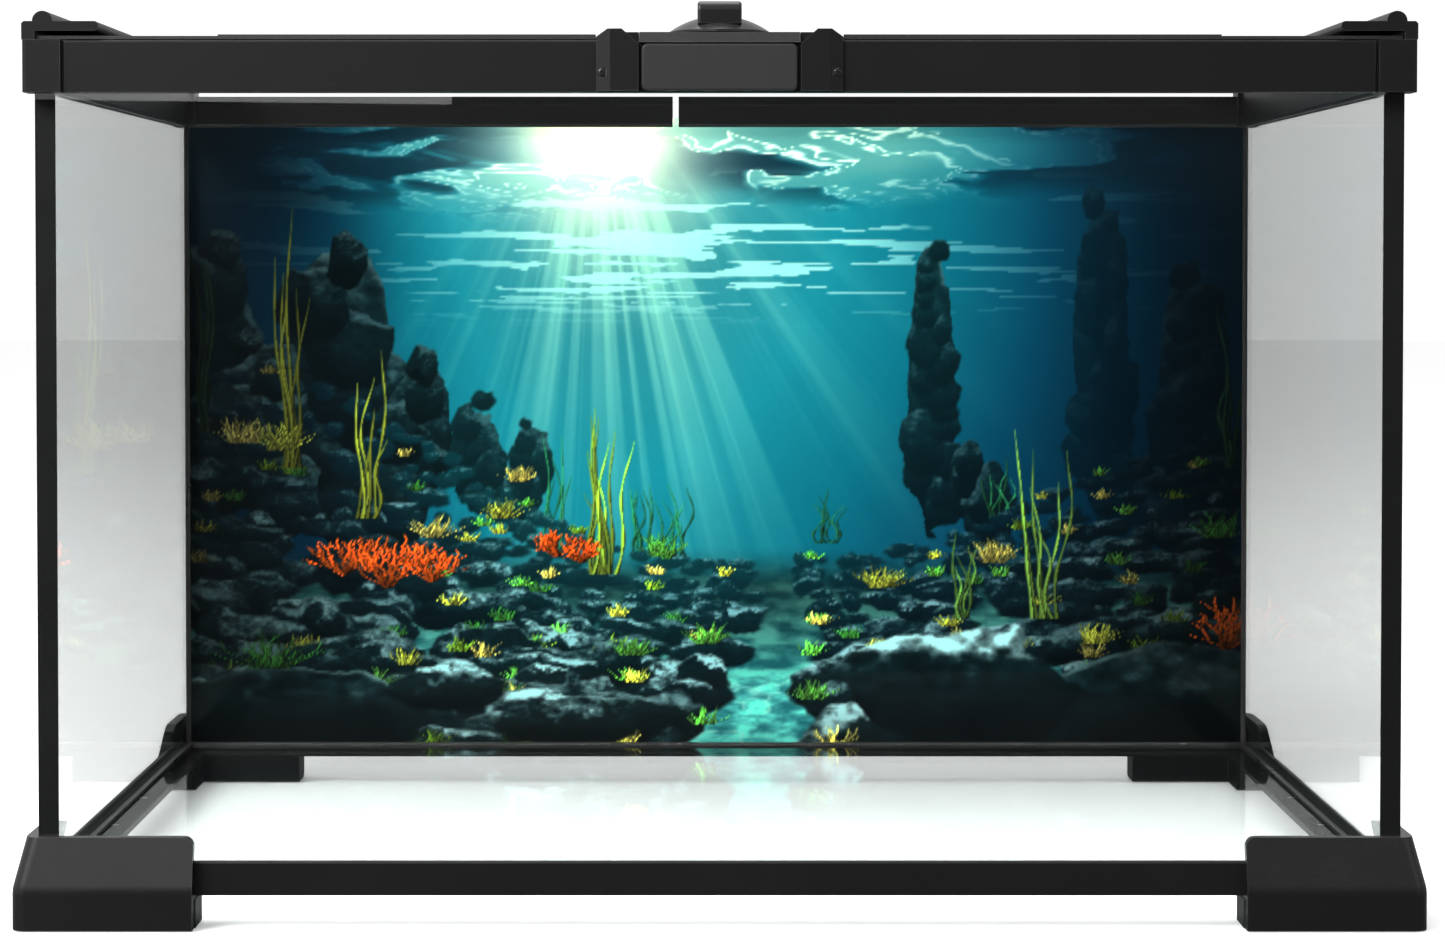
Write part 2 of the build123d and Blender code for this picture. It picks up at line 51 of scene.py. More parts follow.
# Camera
LENS_MM = 84.4
SENSOR_MM = 36.0
CAMERA_AT = (-5.9 * MM, -1284.5 * MM, 224.7 * MM)
CAMERA_TILT_DEG = 1.55
CAMERA_SHIFT = (0.0142, -0.0861)

# Insect screen
SCREEN_PITCH = 1.6 * MM
WIRE_R = 0.14 * MM
WIRE_RISE = 0.06 * MM       # the two sets of wires lie this far above and below the middle
WIRE_SIDES = 6

# Screw heads of the latch
HEAD_R = 1.5 * MM
HEAD_H = 0.9 * MM
HEAD_RINGS = 18
HEAD_TURNS = 48
HEAD_FALL = 0.55            # share of its height that a head loses from middle to rim
HEAD_POLE = 0.02            # radius of the innermost ring, as a share of the head's
RECESS_HALF = 0.30 * MM     # half the width of an arm of the cross
RECESS_REACH = 1.0 * MM     # length of an arm
RECESS_DEEP = 0.6 * MM

# Printed film
PRINT_STRIPS = 3            # the film is made as upright strips, side by side
STRIP_COLS = 301
PRINT_ROWS = 324
SUN = (0.66, 1.02)          # in heights of the print, from its lower left corner
EDGE_SOFT = 0.004           # softness of a painted edge, in heights of the print
PATH_X = 0.93               # where the sandy path lies, in heights of the print
BED_BANDS = 14              # rows of rocks from far to near
BED_TUFTS = 9               # tufts of growth tried in each row
PRINT_SEED = 7

# Glass and film
WALL_IOR = 1.38
REAR_IOR = 1.12             # the film lies on the rear pane, which then hardly mirrors anything
FLOOR_IOR = 1.13            # the floor pane mirrors the picture less
FLOOR_HAZE = 0.02           # and its scuffed top blurs what it mirrors
FILM_GLOW = 0.50            # painted glow: the print shines by its own light, in place of light coming through the film from behind

# Painted highlight along the edges of moulded plastic
EDGE_RADIUS = 0.45 * MM
EDGE_HIGHLIGHT_GAIN = 1.5                 # a painted edge highlight is this many times as pale as its plastic
EDGE_HIGHLIGHT_LIFT = 0.055              # and paler by this as well

# Relief of the finishes
GRAIN_DEEP = 0.1 * MM
SCRATCH_DEEP = 0.05 * MM

# Studio
FLOOR_FRONT = -0.30         # the floor starts here and runs to the back
FLOOR_FAR = 8.0
SURROUND = 1.10
LIT_LEVEL = 0.75            # how brightly the surround lights things, against how white it looks
SIDE_FALL = 0.25            # the surround lights the left more than the right by this
FLOOR_PALE = 0.95
FLOOR_BOUNCE = 0.15         # share of its light that the floor throws back at the tank
FLOOR_LIFT = 0.26           # the floor's own light, so that it looks as white as the surround
FLAG_LEVEL = 0.03           # a soft-edged flag darkens the surround in front of the tank and below
FLAG_AIM = (0.0, -0.94, -0.34)
FLAG_COS = (0.80, 0.94)      # where the flag begins and where it is full
LIGHTS_AIM = (0, 0, 0.15)
SOFT_BOXES = (              # name, place, side in metres, watts
    ("key_left", (-1.1, -1.1, 1.2), 0.9, 42),
    ("fill_right", (1.9, -1.2, 1.2), 1.0, 5),
    ("overhead", (-0.2, 0.3, 2.2), 1.6, 30),
    ("low_front", (-0.4, -1.5, 0.56), 0.45, 1.6),
)


# ---------------------------------------------------------------- meshes

def new_mesh(name, verts, faces):
    """An object made of a vertex array and a list of faces, linked to the scene."""
    mesh = bpy.data.meshes.new(name)
    mesh.from_pydata(verts.tolist(), [], faces)
    mesh.update()
    piece = bpy.data.objects.new(name, mesh)
    bpy.context.scene.collection.objects.link(piece)
    return piece


def grid_faces(rows, cols, wrap=False):
    """Quads of a grid of rows x cols vertices; wrap joins the last column to the first."""
    r = np.arange(rows - 1)[:, None]
    c = np.arange(cols if wrap else cols - 1)[None, :]
    right = (c + 1) % cols
    quads = (r * cols + c, r * cols + right, (r + 1) * cols + right, (r + 1) * cols + c)
    return np.stack([q.reshape(-1) for q in np.broadcast_arrays(*quads)], axis=1)


def screen_wires(axis, low, high, middle):
    """Straight wires along one axis: each is a prism of WIRE_SIDES sides, at an even pitch across."""
    across = 1 - axis
    count = int((high[across] - low[across]) / SCREEN_PITCH)
    spare = (high[across] - low[across]) - (count - 1) * SCREEN_PITCH
    rows = low[across] + spare / 2 + np.arange(count) * SCREEN_PITCH
    turn = np.arange(WIRE_SIDES) * 2 * np.pi / WIRE_SIDES
    ring = np.stack([WIRE_R * np.cos(turn), WIRE_R * np.sin(turn)], axis=1)
    rise = WIRE_RISE if axis else -WIRE_RISE
    verts = np.zeros((count, 2, WIRE_SIDES, 3))
    verts[..., across] = rows[:, None, None] + ring[None, None, :, 0]
    verts[..., 2] = middle + rise + ring[None, None, :, 1]
    verts[:, 0, :, axis] = low[axis]
    verts[:, 1, :, axis] = high[axis]
    side = grid_faces(2, WIRE_SIDES, wrap=True)
    flip = side[:, ::-1] if axis == 0 else side
    ends = [np.arange(WIRE_SIDES), np.arange(WIRE_SIDES)[::-1] + WIRE_SIDES]
    if axis == 0:
        ends = [e[::-1] for e in ends]
    per_wire = 2 * WIRE_SIDES
    offsets = np.arange(count) * per_wire
    sides = (flip[None] + offsets[:, None, None]).reshape(-1, 4)
    caps = (np.stack(ends)[None] + offsets[:, None, None]).reshape(-1, WIRE_SIDES)
    return verts.reshape(-1, 3), sides, caps


def make_screen(finish):
    """The woven screen: one set of wires along X and one along Y, crossing at mid height."""
    low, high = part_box("lid_screen")
    middle = (low[2] + high[2]) / 2
    verts = []
    faces = []
    start = 0
    for axis in (0, 1):
        v, sides, caps = screen_wires(axis, low, high, middle)
        verts.append(v)
        faces += (sides + start).tolist() + (caps + start).tolist()
        start += len(v)
    screen = new_mesh("insect_screen", np.concatenate(verts), faces)
    screen.data.materials.append(finish)
    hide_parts("lid_screen")
    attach(screen, "lid")


def make_screw_heads(finish):
    """Pan heads with a cross recess, one per cheek: height falls with the fourth power of the radius."""
    low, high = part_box("latch_screws")
    middle_z = (low[2] + high[2]) / 2
    turn = np.arange(HEAD_TURNS) * 2 * np.pi / HEAD_TURNS
    rings = np.linspace(HEAD_POLE, 1.0, HEAD_RINGS)
    u = HEAD_R * rings[:, None] * np.cos(turn)
    v = HEAD_R * rings[:, None] * np.sin(turn)
    height = HEAD_H * (1 - HEAD_FALL * np.broadcast_to(rings[:, None] ** 4, u.shape))
    slot = np.minimum(np.abs(u), np.abs(v))
    reach = np.maximum(np.abs(u), np.abs(v))
    cut = ease(RECESS_HALF, RECESS_HALF * 0.6, slot) * ease(RECESS_REACH, RECESS_REACH * 0.8, reach)
    height = height - RECESS_DEEP * cut
    skirt = np.zeros((1, HEAD_TURNS))
    rows_u, rows_v = np.concatenate([u, u[-1:]]), np.concatenate([v, v[-1:]])
    rows_h = np.concatenate([height, skirt])
    verts, faces = [], []
    for i, side in enumerate((-1, 1)):
        x = side * (high[0] - HEAD_R) + rows_u
        y = low[1] + HEAD_H - rows_h
        grid = np.stack([x, y, middle_z + rows_v], axis=-1).reshape(-1, 3)
        start = i * len(grid)
        verts.append(grid)
        faces += (grid_faces(HEAD_RINGS + 1, HEAD_TURNS, wrap=True) + start).tolist()
        faces.append((start + np.arange(HEAD_TURNS))[::-1].tolist())
        faces.append((start + HEAD_RINGS * HEAD_TURNS + np.arange(HEAD_TURNS)).tolist())
    heads = new_mesh("latch_screw_heads", np.concatenate(verts), faces)
    heads.data.materials.append(finish)
    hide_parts("latch_screws")
    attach(heads, "tank")


# ---------------------------------------------------------------- the print

def lattice(x, z, seed):
    """Smooth noise from 0 to 1: random values on a square lattice, blended by a cubic ease."""
    table = np.random.default_rng(seed).random((64, 64))
    xi, zi = np.floor(x).astype(int), np.floor(z).astype(int)
    fx, fz = x - xi, z - zi
    ex, ez = fx * fx * (3 - 2 * fx), fz * fz * (3 - 2 * fz)
    near = table[xi % 64, zi % 64] * (1 - ex) + table[(xi + 1) % 64, zi % 64] * ex
    far = table[xi % 64, (zi + 1) % 64] * (1 - ex) + table[(xi + 1) % 64, (zi + 1) % 64] * ex
    return near * (1 - ez) + far * ez


def fractal(x, z, seed, octaves=4):
    """Octaves of lattice noise, each twice as fine and half as strong, scaled back to 0 to 1."""
    total = 0
    weight = 0
    for i in range(octaves):
        total = total + lattice(x * 2 ** i + 7.3 * i, z * 2 ** i + 3.1 * i, seed + i) / 2 ** i
        weight += 1 / 2 ** i
    return total / weight


def ease(low, high, value):
    """0 below low, 1 above high, and a cubic ease between them."""
    t = np.clip((value - low) / (high - low), 0, 1)
    return t * t * (3 - 2 * t)


def blend_stops(value, stops):
    """Colours between the stops, a list of (value, colour)."""
    at = [s[0] for s in stops]
    return np.stack([np.interp(value, at, [s[1][i] for s in stops]) for i in range(3)], axis=-1)


class Print:
    """A picture on a grid of points, painted from the back to the front in heights of the film."""

    def __init__(self, x, z):
        self.x = x
        self.z = z
        self.rgb = np.zeros((len(z), len(x), 3))

    def window(self, x0, x1, z0, z1):
        """The grid rows and columns inside a rectangle, and their coordinates."""
        cols = slice(*np.searchsorted(self.x, (x0, x1)))
        rows = slice(*np.searchsorted(self.z, (z0, z1)))
        gx, gz = np.meshgrid(self.x[cols], self.z[rows])
        return rows, cols, gx, gz

    def everywhere(self):
        """All rows and columns, and their coordinates."""
        return self.window(-1, 9, -1, 9)

    def lay(self, rows, cols, colour, cover):
        """Blend a colour over the picture by its cover."""
        under = self.rgb[rows, cols]
        self.rgb[rows, cols] = under * (1 - cover[..., None]) + np.asarray(colour) * cover[..., None]


WATER_STOPS = [
    (0.00, (1.00, 0.99, 0.92)), (0.07, (0.90, 0.93, 0.84)), (0.16, (0.56, 0.74, 0.70)),
    (0.30, (0.22, 0.62, 0.65)), (0.48, (0.11, 0.60, 0.65)), (0.66, (0.04, 0.50, 0.57)),
    (0.86, (0.01, 0.31, 0.42)), (1.06, (0.00, 0.18, 0.28)), (1.40, (0.00, 0.09, 0.17)),
]


def water_colour(x, z):
    """The water's own colour: it darkens with distance from the sun, faster to the left."""
    dx = x - SUN[0]
    across = np.where(dx < 0, 2.0, 1.15)
    return blend_stops(np.hypot(dx * across, (SUN[1] - z) * 0.80), WATER_STOPS)


def paint_water(art):
    """Water that brightens towards the sun, slanting beams, and the rippled surface overhead."""
    rows, cols, x, z = art.everywhere()
    art.rgb[rows, cols] = water_colour(x, z)
    dx, dz = x - SUN[0], SUN[1] - z
    far = np.hypot(dx, dz)
    angle = np.arctan2(dx, dz + 0.10)
    beams = 0.75 * ease(0.45, 0.85, lattice(angle * 13 + 20, far * 0.5, 31))
    beams += 0.55 * ease(0.50, 0.90, lattice(angle * 34 + 50, far * 0.3, 32))
    beams += 0.30 * ease(0.50, 0.95, lattice(angle * 80 + 90, far * 0.3, 33))
    fan = np.exp(-((angle - 0.12) / 0.50) ** 2) * np.exp(-(far / 0.62) ** 2.2) * ease(0.0, 0.22, far)
    art.lay(rows, cols, (0.76, 0.93, 0.84), np.clip(beams * fan * 0.80, 0, 1))
    paint_surface(art)


def paint_surface(art):
    """The surface from below: patches and streaks of light that flatten and thin out with distance."""
    rows, cols, x, z = art.everywhere()
    dx = x - SUN[0]
    depth = 1 / np.clip(z - 0.50, 0.02, None)
    flow = fractal(dx * depth * 2.2 + 40, depth * 3.0, 71, 3) - 0.5
    u, v = dx * depth * 2.1 + 30 + flow * 2.2, depth * 5.2 + flow * 3.0
    ripple = fractal(u, v, 41, 4)
    shine = np.exp(-np.abs((dx - 0.16) / 0.42) ** 2.4)
    roof = ease(0.845, 0.93, z + 0.07 * flow)
    hollows = roof * ease(0.54, 0.40, ripple) * ease(0.05, 0.26, np.abs(dx)) * 0.9
    art.lay(rows, cols, (0.02, 0.18, 0.25), hollows)
    plates = ease(0.520, 0.560, ripple)
    art.lay(rows, cols, (0.44, 0.72, 0.70), plates * roof * np.clip(shine * 1.6, 0, 0.95))
    rims = np.exp(-((ripple - 0.525) / 0.018) ** 2) + np.exp(-((ripple - 0.62) / 0.016) ** 2)
    art.lay(rows, cols, (0.93, 0.97, 0.92), np.clip(rims, 0, 1) * roof * np.clip(shine * 1.5, 0, 1))
    streaks = ease(0.640, 0.665, fractal(dx * depth * 1.6 + 9 + flow, depth * 7.5 + flow, 55, 3))
    band = ease(0.66, 0.74, z) * ease(0.93, 0.87, z)
    under_sun = np.clip(np.exp(-((dx - 0.16) / 0.42) ** 2) * 1.2, 0, 0.9)
    art.lay(rows, cols, (0.70, 0.88, 0.86), streaks * band * under_sun)
    glow = np.exp(-(np.hypot(dx * 0.9, SUN[1] - z) / 0.16) ** 2)
    art.lay(rows, cols, (1.0, 0.99, 0.92), np.clip(glow * 1.1, 0, 1))


ROCK_SIDES = 9
ROCK_FACES = 11
ROCK_DARK = (0.006, 0.036, 0.046)
ROCK_MID = (0.095, 0.255, 0.280)
ROCK_LIT = (0.700, 0.860, 0.860)


def rock_planes(seed, flat):
    """Random planes whose common inside is a rock: a ring of side faces, then faces to the front and top."""
    rng = np.random.default_rng(seed)
    ring = (np.arange(ROCK_SIDES) + rng.uniform(-0.32, 0.32, ROCK_SIDES)) * 2 * np.pi / ROCK_SIDES
    turn = np.concatenate([ring, rng.uniform(0, 2 * np.pi, ROCK_FACES)])
    out = np.concatenate([np.full(ROCK_SIDES, 0.16), rng.uniform(0.30, 0.95, ROCK_FACES)])
    side = np.sqrt(1 - out ** 2)
    far = np.concatenate([rng.uniform(0.80, 1.0, ROCK_SIDES), rng.uniform(0.66, 0.86, ROCK_FACES)])
    normal = np.stack([side * np.cos(turn), side * np.sin(turn) + flat, out])
    return normal / np.linalg.norm(normal, axis=0), far


def paint_rock(art, middle, size, seed, haze, sunny):
    """A faceted rock: the nearest of its planes gives depth and facing, blended where planes meet."""
    (cx, cz), (rx, rz) = middle, size
    rows, cols, x, z = art.window(cx - 1.3 * rx, cx + 1.3 * rx, cz - 1.3 * rz, cz + 1.3 * rz)
    if not x.size:
        return
    scale = 1 / math.sqrt(rx * rz)
    rough = fractal(x * scale * 2.6 + seed, z * scale * 3.4, seed, 5) - 0.5
    u = (x - cx) / rx + 0.22 * rough
    v = (z - cz) / rz + 0.30 * rough
    normal, far = rock_planes(seed, 0.10)
    gap = far - u[..., None] * normal[0] - v[..., None] * normal[1]
    cover = ease(0, 1.4 * EDGE_SOFT / rz, gap.min(axis=-1))
    depth = gap / normal[2]
    share = np.exp(-11 * (depth - depth.min(axis=-1, keepdims=True)))
    facing = (share @ normal.T) / share.sum(axis=-1, keepdims=True)
    grain = fractal(x * scale * 7 + seed, z * scale * 11, seed + 3, 4) - 0.5
    lean = np.clip((SUN[0] + 0.15 - cx) * 0.6, -0.45, 0.45)
    up = facing[..., 1] * 0.92 + facing[..., 0] * lean + 0.55 * rough + 0.35 * grain
    lit = ease(0.34, 0.86, up) * (0.60 + 0.9 * (grain + 0.5))
    edge = np.exp(-((gap[..., :ROCK_SIDES].min(axis=-1) - 0.05) / 0.05) ** 2) * ease(0.35, 0.8, v)
    shade = ease(-0.95, 0.35, v)
    sky = np.clip(0.5 + 0.5 * up, 0, 1) * shade
    tone = np.asarray(ROCK_DARK) + (np.asarray(ROCK_MID) - ROCK_DARK) * (sky * (0.6 + 0.8 * grain))[..., None]
    glow = np.clip((1.25 * lit + 0.6 * edge) * sunny, 0, 1)[..., None]
    rock = tone * (1 - glow) + np.asarray(ROCK_LIT) * glow
    art.lay(rows, cols, rock * (1 - haze) + water_colour(x, z) * 0.72 * haze, cover)


def paint_stack(art, foot, width, height, seed, haze, sunny=0.25):
    """A standing column: one tall rock, and smaller ones that break its sides and top."""
    rng = np.random.default_rng(seed)
    paint_rock(art, (foot[0], foot[1] + height * 0.42), (width * 0.86, height * 0.60), seed, haze, sunny)
    steps = max(4, int(height / width * 2.0))
    for i in range(steps):
        t = i / (steps - 1)
        half = width * (0.85 - 0.45 * t) * rng.uniform(0.75, 1.20)
        side = rng.choice((-1, 1)) * width * (0.42 - 0.22 * t)
        paint_rock(art, (foot[0] + side, foot[1] + height * t * 0.93),
                   (half, half * rng.uniform(0.75, 1.5)), seed + 5 * i, haze, sunny)


def paint_blade(art, root, tip, bend, width, colour):
    """A blade of weed: its middle line runs from root to tip and bows sideways by a sine; it tapers."""
    x0, z0 = root
    x1, z1 = tip
    pad = abs(bend) + 3 * width
    rows, cols, x, z = art.window(min(x0, x1) - pad, max(x0, x1) + pad, z0, z1)
    if not x.size or z1 <= z0:
        return
    t = (z - z0) / (z1 - z0)
    middle = x0 + (x1 - x0) * t + bend * np.sin(t * 7.5)
    half = width * (1 - t) ** 0.5 * (0.75 + 0.25 * np.cos(t * 23))
    side = x - middle
    cover = ease(half + EDGE_SOFT * 0.5, half - EDGE_SOFT * 0.5, np.abs(side))
    lit = np.clip(0.62 + 0.55 * t - 0.35 * np.sign(side - 0.2 * width), 0.25, 1.35)
    art.lay(rows, cols, np.asarray(colour) * lit[..., None], cover)


def paint_weed(art, root, height, blades, spread, colour, seed, width=0.0042):
    """A clump of tall weed: blades rise from nearly one point."""
    rng = np.random.default_rng(seed)
    for _ in range(blades):
        foot = root[0] + rng.uniform(-0.4, 0.4) * spread
        top = (foot + rng.uniform(-0.5, 0.5) * spread, root[1] + height * rng.uniform(0.45, 1.0))
        tone = np.asarray(colour) * rng.uniform(0.60, 1.20)
        paint_blade(art, (foot, root[1]), top, rng.uniform(-0.009, 0.009), width, tone)


def paint_tuft(art, root, size, colour, seed, blades=34):
    """A low bush: short blades fan out from one point."""
    rng = np.random.default_rng(seed)
    for _ in range(blades):
        lean = rng.uniform(-1.15, 1.15)
        reach = size * rng.uniform(0.45, 1.0)
        foot = root[0] + rng.uniform(-0.35, 0.35) * size
        top = (foot + reach * math.sin(lean), root[1] + reach * math.cos(lean) * 0.8)
        tone = np.asarray(colour) * rng.uniform(0.45, 1.25)
        paint_blade(art, (foot, root[1]), top, rng.uniform(-0.08, 0.08) * size, 0.0030, tone)


def paint_coral(art, root, size, colour, seed, stems=13):
    """A branching coral: stems fork twice, each fork shorter, paler and thinner."""
    rng = np.random.default_rng(seed)
    tips = [(root, rng.uniform(-1.1, 1.1), size * rng.uniform(0.35, 0.55), 0) for _ in range(stems)]
    while tips:
        foot, lean, reach, order = tips.pop(0)
        end = (foot[0] + reach * math.sin(lean), foot[1] + reach * math.cos(lean) * 0.85)
        tone = np.asarray(colour) * rng.uniform(0.45, 0.95) * (0.75 + 0.25 * order)
        paint_blade(art, foot, end, rng.uniform(-0.12, 0.12) * reach, 0.0062 - 0.0012 * order, tone)
        if order < 2:
            knee = (foot[0] + (end[0] - foot[0]) * 0.8, foot[1] + (end[1] - foot[1]) * 0.8)
            for turn in (-0.5, 0.45):
                tips.append((knee, lean + turn, reach * rng.uniform(0.55, 0.8), order + 1))


GROWTH = [(0.42, 0.56, 0.16), (0.62, 0.64, 0.24), (0.20, 0.44, 0.18), (0.70, 0.66, 0.34), (0.34, 0.60, 0.24)]


def bed_level(x, near):
    """Height of the bed: a valley round the path, high at the left end, falling as it comes near."""
    far_line = 0.30 + 0.30 * ease(0.80, 0.10, x) + 0.22 * ease(1.02, 1.80, x)
    return far_line * (1 - near) ** 1.15 - 0.015


def sun_share(x, z):
    """How much direct light a place on the bed gets: most under the sun and along the path."""
    return 0.25 + 1.1 * math.exp(-((x - 0.84) / 0.55) ** 2) * (0.60 + 0.9 * max(0.0, 0.42 - abs(z - 0.20)))


def paint_bed(art, wide):
    """The bed, from far to near: bands of rocks leave a sandy path, with growth between them."""
    rng = np.random.default_rng(PRINT_SEED)
    rows, cols, x, z = art.window(-1, 9, -1, 0.34)
    speck = fractal(x * 30, z * 80, 61)
    sand = blend_stops(speck, [(0.3, (0.10, 0.36, 0.38)), (0.7, (0.34, 0.66, 0.62))])
    art.lay(rows, cols, sand * (0.55 + 0.9 * ease(0.30, 0.0, z))[..., None], ease(0.32, 0.24, z))
    net = fractal(x * 14 + 3, z * 34, 67, 3)
    art.lay(rows, cols, (0.74, 0.92, 0.86), np.exp(-((net - 0.5) / 0.03) ** 2) * ease(0.20, 0.03, z) * 0.55)
    for band in range(BED_BANDS):
        near = band / (BED_BANDS - 1)
        size = 0.022 + 0.082 * near ** 1.4
        gap = 0.010 + 0.080 * near ** 1.8
        count = int(1.75 * wide / size / (1.1 + 0.2 * near))
        haze = 0.55 * (1 - near) ** 1.7
        for _ in range(count):
            at = rng.uniform(-0.05, wide + 0.05)
            rx = size * rng.uniform(0.6, 1.6)
            rz = size * rng.uniform(0.42, 0.78)
            path = PATH_X + 0.035 * math.sin(near * 5)
            if abs(at - path) < gap + 0.7 * rx:
                continue
            level = float(bed_level(at, near)) + rng.uniform(-0.5, 0.5) * size
            paint_rock(art, (at, level), (rx, rz), int(rng.integers(9999)), haze,
                       sun_share(at, level) * rng.uniform(0.35, 1.25))
        for _ in range(BED_TUFTS):
            at = rng.uniform(0.02, wide - 0.02)
            if abs(at - PATH_X) < 0.04 + 0.06 * near:
                continue
            tone = np.asarray(GROWTH[int(rng.integers(len(GROWTH)))]) * (0.35 + 0.9 * sun_share(at, 0.2))
            level = float(bed_level(at, near)) + 0.010
            paint_tuft(art, (at, level), 0.020 + 0.026 * near, tone, int(rng.integers(9999)), blades=20)


FAR_STACKS = (              # foot, width, height, seed, haze
    ((1.47, 0.40), 0.060, 0.50, 181, 0.82), ((1.62, 0.38), 0.080, 0.40, 201, 0.74),
    ((1.20, 0.38), 0.050, 0.44, 161, 0.34), ((1.27, 0.36), 0.060, 0.10, 165, 0.30),
    ((0.56, 0.40), 0.045, 0.12, 145, 0.34), ((0.47, 0.40), 0.060, 0.16, 141, 0.30),
    ((0.04, 0.40), 0.110, 0.42, 121, 0.34), ((0.24, 0.42), 0.125, 0.38, 101, 0.16),
    ((0.37, 0.40), 0.075, 0.22, 131, 0.14), ((0.12, 0.40), 0.100, 0.26, 111, 0.10),
)
FAR_WEED = (                # x, level, height
    (0.60, 0.30, 0.22), (0.74, 0.30, 0.15), (0.79, 0.30, 0.12), (1.03, 0.32, 0.10), (1.31, 0.36, 0.12),
)
NEAR_WEED = (               # root, height, blades, spread, colour, seed
    ((0.18, 0.44), 0.42, 7, 0.05, (0.46, 0.48, 0.16), 301),
    ((0.30, 0.36), 0.27, 6, 0.06, (0.56, 0.60, 0.20), 302),
    ((0.68, 0.27), 0.28, 12, 0.06, (0.56, 0.66, 0.24), 303),
    ((1.38, 0.20), 0.33, 7, 0.06, (0.52, 0.68, 0.30), 304),
    ((1.25, 0.20), 0.17, 5, 0.04, (0.42, 0.60, 0.28), 305),
    ((1.69, 0.44), 0.26, 5, 0.05, (0.10, 0.24, 0.16), 306),
    ((0.03, 0.50), 0.34, 5, 0.04, (0.07, 0.16, 0.10), 307),
)
NEAR_ROCKS = (              # middle, half sizes, seed, sun
    ((0.20, 0.05), (0.26, 0.085), 811, 0.28), ((1.58, 0.06), (0.24, 0.115), 815, 0.25),
    ((1.24, 0.085), (0.215, 0.125), 822, 0.80), ((0.62, 0.035), (0.13, 0.050), 825, 0.80),
    ((0.42, 0.085), (0.12, 0.040), 829, 0.55),
)
CORALS = (                  # root, size, seed
    ((0.26, 0.27), 0.080, 401), ((0.33, 0.25), 0.100, 402), ((0.40, 0.26), 0.080, 403),
    ((0.60, 0.30), 0.055, 404), ((0.64, 0.29), 0.050, 405), ((1.67, 0.15), 0.110, 406),
)
TUFTS = (                   # root, size, which growth colour, seed
    ((0.10, 0.48), 0.060, 3, 501), ((0.16, 0.47), 0.060, 1, 502), ((0.40, 0.33), 0.05, 3, 503),
    ((0.51, 0.36), 0.045, 1, 504), ((0.54, 0.42), 0.035, 3, 505), ((0.77, 0.30), 0.05, 4, 506),
    ((1.12, 0.25), 0.05, 1, 507), ((1.30, 0.29), 0.050, 3, 508), ((1.01, 0.07), 0.045, 4, 509),
    ((0.14, 0.12), 0.085, 2, 510), ((0.84, 0.16), 0.045, 4, 511), ((0.72, 0.14), 0.040, 4, 512),
    ((1.46, 0.16), 0.045, 1, 513), ((1.66, 0.33), 0.060, 2, 514),
)


def paint_scene(art, wide):
    """The whole picture: water, far rocks, bed, tall weed, corals and a darker border."""
    paint_water(art)
    for foot, width, height, seed, haze in FAR_STACKS:
        paint_stack(art, foot, width, height, seed, haze)
    for at, level, tall in FAR_WEED:
        paint_weed(art, (at, level), tall, 6, 0.04, (0.16, 0.46, 0.30), int(at * 900), 0.003)
    paint_bed(art, wide)
    for root, tall, blades, spread, tone, seed in NEAR_WEED:
        paint_weed(art, root, tall, blades, spread, tone, seed)
    for middle, size, seed, sunny in NEAR_ROCKS:
        paint_rock(art, middle, size, seed, 0, sunny)
    for root, size, seed in CORALS:
        paint_coral(art, root, size, (0.98, 0.42, 0.13), seed)
    for root, size, tone, seed in TUFTS:
        paint_tuft(art, root, size, GROWTH[tone], seed, 44)
    rows, cols, x, z = art.everywhere()
    edge = np.minimum(x, wide - x) / wide
    dim = (0.42 + 0.58 * ease(-0.02, 0.24, edge)) * (0.70 + 0.30 * ease(-0.04, 0.10, z))
    art.rgb *= dim[..., None]


def to_linear(rgb):
    """Display colours as scene-linear ones."""
    rgb = np.clip(rgb, 0, 1)
    return np.where(rgb <= 0.04045, rgb / 12.92, ((rgb + 0.055) / 1.055) ** 2.4)


def film_strip(name, x, z, y, rgb, finishes):
    """One strip of film: a fine grid towards the glass that carries the picture, and a plain back."""
    gx, gz = np.meshgrid(x, z)
    front = np.stack([gx, np.full_like(gx, y[0]), gz], axis=-1).reshape(-1, 3)
    corners = [0, len(x) - 1, len(z) * len(x) - 1, (len(z) - 1) * len(x)]
    back = front[corners].copy()
    back[:, 1] = y[1]
    first = len(front)
    quads = grid_faces(len(z), len(x))
    shell = [(first + 3, first + 2, first + 1, first)]
    for i in range(4):
        j = (i + 1) % 4
        shell.append((corners[j], corners[i], first + i, first + j))
    strip = new_mesh(name, np.concatenate([front, back]), quads.tolist() + shell)
    colour = strip.data.color_attributes.new("print", "FLOAT_COLOR", "POINT")
    rgba = np.ones((first + 4, 4), dtype=np.float32)
    rgba[:first, :3] = rgb.reshape(-1, 3)
    colour.data.foreach_set("color", rgba.reshape(-1))
    slots = np.zeros(len(quads) + len(shell), dtype=np.int32)
    slots[len(quads):] = 1
    for finish in finishes:
        strip.data.materials.append(finish)
    strip.data.polygons.foreach_set("material_index", slots)
    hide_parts("background_film")
    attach(strip, "tank")


def make_film():
    """Paint the picture once for the whole film, then share it out over the strips."""
    low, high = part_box("background_film")
    tall = high[2] - low[2]
    wide = (high[0] - low[0]) / tall
    step = STRIP_COLS - 1
    art = Print(np.linspace(0, wide, PRINT_STRIPS * step + 1), np.linspace(0, 1, PRINT_ROWS))
    paint_scene(art, wide)
    rgb = to_linear(art.rgb)
    finishes = (film_front(), film_back())
    for i in range(PRINT_STRIPS):
        cols = slice(i * step, (i + 1) * step + 1)
        film_strip(f"film_strip_{i + 1}", low[0] + art.x[cols] * tall, low[2] + art.z * tall,
                   (low[1], high[1]), rgb[:, cols], finishes)


# ---------------------------------------------------------------- materials

